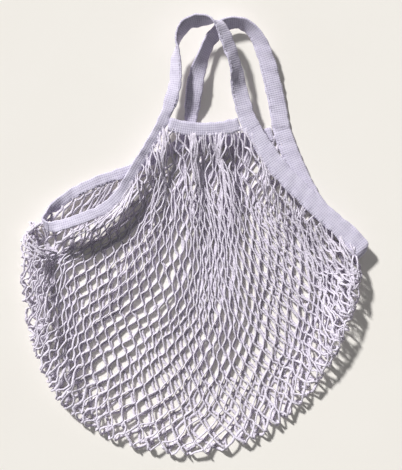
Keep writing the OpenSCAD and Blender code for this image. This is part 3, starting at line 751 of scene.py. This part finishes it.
def cord_lines(joints, seed, bow=0.55):
    dice = np.random.default_rng(seed)
    last, rows = len(joints) - 1, joints.shape[1]
    row = np.arange(rows)
    lines = []
    for column in range(COLUMNS + 1):
        for hand in (1, -1):
            k = np.clip(2 * column + np.where(row % 2, hand, 0), 0, last)
            across = joints[np.minimum(k + 1, last), row] - joints[np.maximum(k - 1, 0), row]
            beside = np.minimum(BESIDE * CORD, CROWDED * np.linalg.norm(across, axis=1))
            beside = beside * np.where(row % 2, -hand, hand)
            knot = joints[k, row] + beside[:, None] * unit(across)
            along = unit(np.gradient(knot, axis=0)) * JOINT / 2
            between = (knot + np.roll(knot, -1, axis=0)) / 2
            between = between + dice.normal(0, bow, knot.shape) * (1 + near_fold(between))[:, None]
            stops = np.stack([knot - along, knot + along, between], axis=1).reshape(-1, 2)[:-1]
            lines.append(smooth_curve(stops, np.arange(0, len(stops) - 1, 0.5)))
    return np.array(lines)


front_lines, back_lines = cord_lines(front_joints, 33), cord_lines(back_joints, 33)
print("cords drawn:", len(front_lines), "in front and", len(back_lines), "behind")

# %% [markdown]
# ### Heights
# The back lies on the table. The front sags onto it, comes up to the tapes, falls steeply from the raised
# rim, and puffs up along the outline, most at the right, before it turns under in a half round. The CAD's
# front net is a flat lattice at the height of the tapes. The sag is this script's own.

# %% Heights of the two layers
# the middle of the back cords, and the lowest it gets, as they lie on the table
BED, LOWEST = 0.7, 0.6
# the middle of the front cords where they rest on the back ones, and how high the pleats rise
REST, PLEAT_RISE = 3.2, 9
# the crest of the outline's puff, and what the right and the left side add to it
CREST, RIGHT_CREST, LEFT_CREST = 9, 15, 8
# the length in which the net comes up to a tape, and the width of the outline's puff
COMES_UP, PUFF_WIDTH = 42, 42
# just below the yoke, the fan's middle column, its x and lean, and the columns' spacing and its growth
MID_COLUMN, MID_X, MID_LEAN, SPACING, SPREAD = 21, 9, 0.11, 4.6, 0.026


def front_top(x, y, from_fold, from_mouth, mouth_z, hold):
    rest = REST + 0.6 * np.sin(x / 23 + 1.0) * np.sin(y / 27) + 0.5 * np.sin(x / 11 - y / 17)
    # by the raised rim it keeps the rim's height for a while, with a bulge, and then falls
    bulge = np.sin(np.pi * np.clip((from_mouth - 5) / (2 * hold + 1), 0, 1))
    puff = 0.4 * hold * bulge * (mouth_z < RIM - 2)
    z = rest + (mouth_z + puff - rest) * (1 - eased((from_mouth - hold) / (COMES_UP - 2.4 * hold)))
    # pleats run down from the yoke along the columns, whose fan is nearly straight there
    below = HEIGHTS[0] - y
    column = MID_COLUMN + (x - MID_X - MID_LEAN * below) / (SPACING + SPREAD * below)
    pleat = PLEAT_RISE * np.maximum(-np.cos(2 * np.pi * column / PLEAT + PLEAT_PHASE), 0)
    z = z + pleat * eased((y + 20) / 90) * eased(from_mouth / 25)
    # the outline's puff, which stays below the tape where the two meet
    right = eased((x - 60) / 100) * eased((y + 210) / 120)
    left = eased((-x - 110) / 40)
    crest = CREST + RIGHT_CREST * right + LEFT_CREST * left
    share = (1 - eased((from_fold - 22 * left) / (PUFF_WIDTH - 26 * left))) * eased(from_mouth / 14)
    return z + np.maximum(crest - z, 0) * share


# how far from the mouth's edge the net keeps that edge's height, which it does by the raised rim
RIM_HOLD = 10
hold_of_mouth = np.zeros(len(front_mouth))
hold_of_mouth[:len(left_edge)] = RIM_HOLD * eased((1 - along_rim) / 0.3)


def turned_under(top, from_fold, side):
    """Height on the half round of the fold, on its upper side for 1 and its lower side for -1."""
    middle, radius = (top + BED) / 2, (top - BED) / 2
    return middle + side * radius * np.sqrt(1 - np.clip(1 - from_fold / radius, 0, 1) ** 2)


# %% [markdown]
# ### Weaving
# Each cord is cut off where it reaches an edge of its layer. In the tape it just ends. At the fold a cord of
# the front goes round and comes back a little way underneath, as a loop does, so no end shows. A six sided
# section is enough for a cord that is three pixels wide.

# %% Weave both layers
TUCK = np.array([2, 4, 6.5, 9.5, 13])
# the longest step along a cord, the fewest places in one, and its height as a share of its width
LONGEST_STEP, FEWEST_PLACES, FLATTENED = 6, 5, 0.62
# shares by which a cord's thickness varies, and by which it is thicker at the yoke
UNEVEN_CORD, FRINGE_THICKER = 0.12, 0.3
# how much the heights of whole cords vary, and the length in which the back comes up to its tapes
CORD_LIFT, BACK_COMES_UP = 0.4, 30


def tuck_under(path, at_edge, out, top):
    """The way round the fold and back below it, for a cord that reaches the edge."""
    heading = unit(at_edge - path[-1, :2])
    back = heading - 2 * (heading @ out) * out
    depth = np.maximum(-TUCK * (back @ out), 0)
    flat = np.concatenate([at_edge[None], at_edge + TUCK[:, None] * back])
    height = turned_under(top, np.concatenate([[0], depth]), -1)
    return np.concatenate([path, np.column_stack([flat, height])])


def weave(name, lines, ring, mouth, front, seed):
    dice = np.random.default_rng(seed)
    flat = lines.reshape(-1, 2)
    # a step too long for the cord is a stray of the gathering, and is left out
    step = np.linalg.norm(np.gradient(lines, axis=1), axis=2)
    kept = inside(flat, ring).reshape(lines.shape[:2]) & (step < LONGEST_STEP)
    at_fold, from_fold = nearest(flat, fold_line)
    at_mouth, from_mouth = nearest(flat, mouth[:, :2])
    if front:
        top = front_top(*flat.T, from_fold, from_mouth, mouth[at_mouth, 2], hold_of_mouth[at_mouth])
        z = turned_under(top, from_fold, 1)
    else:
        top = BED + 0.4 * np.sin(flat[:, 0] / 41) * np.sin(flat[:, 1] / 33 + 2.0)
        z = top + (mouth[at_mouth, 2] - top) * (1 - eased(from_mouth / BACK_COMES_UP))
    at_fold, from_fold, from_mouth, top, z = (
        v.reshape(kept.shape) for v in (at_fold, from_fold, from_mouth, top, z))
    runs = []
    for k, line in enumerate(lines):
        changes = np.flatnonzero(np.diff(np.concatenate([[False], kept[k], [False]]).astype(int)))
        lift = dice.normal(0, CORD_LIFT)
        for first, last in zip(changes[::2], changes[1::2]):
            if last - first < FEWEST_PLACES:
                continue
            path = np.column_stack([line[first:last], z[k, first:last]])
            path[:, 2] += lift * eased(np.minimum(from_fold, from_mouth)[k, first:last] / 25)
            path[:, 2] = np.maximum(path[:, 2], LOWEST)
            for end, beyond in ((last - 1, last), (first, first - 1)):
                if front and 0 <= beyond < len(line) and from_fold[k, end] < from_mouth[k, end]:
                    share = from_fold[k, end] / (from_fold[k, end] + from_fold[k, beyond])
                    edge = line[end] + share * (line[beyond] - line[end])
                    path = tuck_under(path, edge, fold_out[at_fold[k, end]], top[k, end])
                path = path[::-1]
            uneven = 1 + UNEVEN_CORD * np.sin(np.arange(len(path)) * 1.05 + dice.uniform(0, ONE_TURN))
            thick = CORD / 2 * uneven * (1 + FRINGE_THICKER * at_yoke(path[:, 1]))
            rings, size, around = round_rings(path * MM, thick * MM, np.array([0, 0, 1.0]), flat=FLATTENED)
            runs.append((rings, size + dice.uniform(0, 1), around))
    piece = skin(name, runs, net_cotton)
    metres = sum(float(np.ptp(run[1])) for run in runs)
    print(name, len(runs), "cords,", round(metres, 1), "m,", len(piece.data.polygons), "faces")
    return piece


front_ring = np.concatenate([front_mouth[:, :2], fold_line[::-1]])
back_ring = np.concatenate([back_mouth[:, :2], (fold_line - 5 * fold_out)[::-1]])
front_net = weave("front_net_cords", front_lines, front_ring, front_mouth, True, 41)
back_net = weave("back_net_cords", back_lines, back_ring, back_mouth, False, 42)

# %% [markdown]
# ## Sewing
# The net's edge is caught in the folded tape by one row of stitches near the inner edge, and the yokes' ends
# are fixed with bar tacks. A stitch is a short thread that comes up, lies on the knit and goes down again, so
# each is a little arch, repeated along the run.

# %% Stitches
STITCH_PLACES = 6


def arches(name, start, finish, up, height=0.4 * MM, thick=0.7 * MM):
    """One piece of many threads, each an arch from its start to its finish."""
    steps = np.linspace(0, 1, STITCH_PLACES)
    arch = np.sin(np.pi * steps) ** 0.5 * height - 0.15 * MM
    runs = []
    for a, b, n in zip(start, finish, up):
        path = a + steps[:, None] * (b - a) + arch[:, None] * n
        runs.append(round_rings(path, np.full(STITCH_PLACES, thick / 2), n))
    return skin(name, runs, sewing_cotton)


def seam_points(run, inset=2 * MM, stitch=3 * MM, gap=1.5 * MM, thick=TAPE):
    """Where stitches begin and end along a tape's inner edge, and which way is up there."""
    count = int(run.length[-1] / (stitch + gap))
    begin = (np.arange(count) + 0.5) * run.length[-1] / count - stitch / 2
    sign = np.sign(run.facing[0, 2])
    side = run.width / 2 - inset
    lift = np.sqrt(1 - (side / run.width * 2) ** 5) * thick / 2
    line, up = run.at(side, sign * lift), sign * run.facing

    def pick(rows, where):
        return np.stack([np.interp(where, run.length, rows[:, k]) for k in range(3)], axis=1)

    return pick(line, begin), pick(line, begin + stitch), unit(pick(up, begin + stitch / 2))


def seam(name, *runs):
    parts = [seam_points(r) for r in runs]
    return arches(name, *(np.concatenate(p) for p in zip(*parts)))


def tack_points(first, last, threads=6, outer_inset=1.6 * MM, inner_inset=3.2 * MM, sunk=0.82):
    """Threads across the tape, sunk a little into the knit."""
    run = tape_run(first, last)
    pick = np.linspace(0.25, 0.75, threads) * (len(run.place) - 1)
    rows = pick.astype(int)
    sign = np.where(run.facing[:, 2] < 0, -1.0, 1.0)
    lift = sunk * (sign * TAPE / 2)
    a = run.at(-run.width / 2 + outer_inset, lift)[rows]
    b = run.at(run.width / 2 - inner_inset, lift)[rows]
    return a, b, (sign[:, None] * run.facing)[rows]


def tacks(name, *places):
    parts = [tack_points(*place) for place in places]
    return arches(name, *(np.concatenate(p) for p in zip(*parts)), height=0.15 * MM)


front_yoke_seam = seam("front_yoke_seam", front_yoke_line)
back_yoke_seam = seam("back_yoke_seam", back_yoke_line)
front_seams = seam("front_binding_seams", tape_run(34.3, 38.2), tape_run(52, 57.8))
back_seams = seam("back_binding_seams", tape_run(0.2, 5.9), tape_run(20, 26))
front_handle_seam = seam("front_handle_seam", tape_run(39.2, 50.8))
back_handle_seam = seam("back_handle_seam", tape_run(7.2, 18.8))
front_tacks = tacks("front_bar_tack_threads", (37.9, 38.4), (51.6, 52.1))
back_tacks = tacks("back_bar_tack_threads", (6.0, 6.4), (20.0, 20.6))
seams = (front_yoke_seam, back_yoke_seam, front_seams, back_seams, front_handle_seam, back_handle_seam)
# six sides between places, and two ends
stitch_faces = 6 * (STITCH_PLACES - 1) + 2
print("stitches:", sum(len(p.data.polygons) for p in seams) // stitch_faces)

# %% [markdown]
# ## What moves with what
# The front of the mouth folds open along a line across the net, and each handle folds up at its foot. The
# soft pieces that cross such a line only have their places baked into their meshes, and the rest ride on one
# body.

# %% Bake, ride and replace
def bend(piece):
    """The piece's place is baked into its mesh."""
    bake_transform(piece)


for piece in (front_net, front_left, front_right, front_seams):
    bend(piece)
for piece in (front_handle, front_handle_seam):
    bend(piece)
for piece in (back_handle, back_handle_seam):
    bend(piece)
for piece in (front_yoke, front_yoke_seam, front_tacks):
    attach(piece, "mouth_front")
for piece in (back_net, back_left, back_right, back_yoke, back_yoke_seam, back_seams, back_tacks):
    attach(piece, "bag_body")

stands_for = {
    front_net: ("front_net_upper", "front_net_lower", "net_fold_cords"), back_net: ("back_net",),
    front_handle: ("front_handle",), back_handle: ("back_handle",),
    front_left: ("front_left_rim", "front_left_binding"),
    front_right: ("front_right_binding_upper", "front_right_binding_lower", "right_tape_turn"),
    back_right: ("back_right_binding",), back_left: ("back_left_binding", "left_tape_turn"),
    front_yoke: ("front_yoke",), back_yoke: ("back_yoke",),
    front_yoke_seam: ("front_yoke_stitching",), back_yoke_seam: ("back_yoke_stitching",),
    front_seams: ("front_left_stitching", "front_right_stitching_upper", "front_right_stitching_lower"),
    back_seams: ("back_left_stitching", "back_right_stitching"),
    front_handle_seam: ("front_handle_stitching",), back_handle_seam: ("back_handle_stitching",),
    front_tacks: ("front_bar_tacks",), back_tacks: ("back_bar_tacks",),
}
for piece, nodes in stands_for.items():
    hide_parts(*nodes)
print(len(stands_for), "pieces stand for", sum(len(n) for n in stands_for.values()), "nodes")
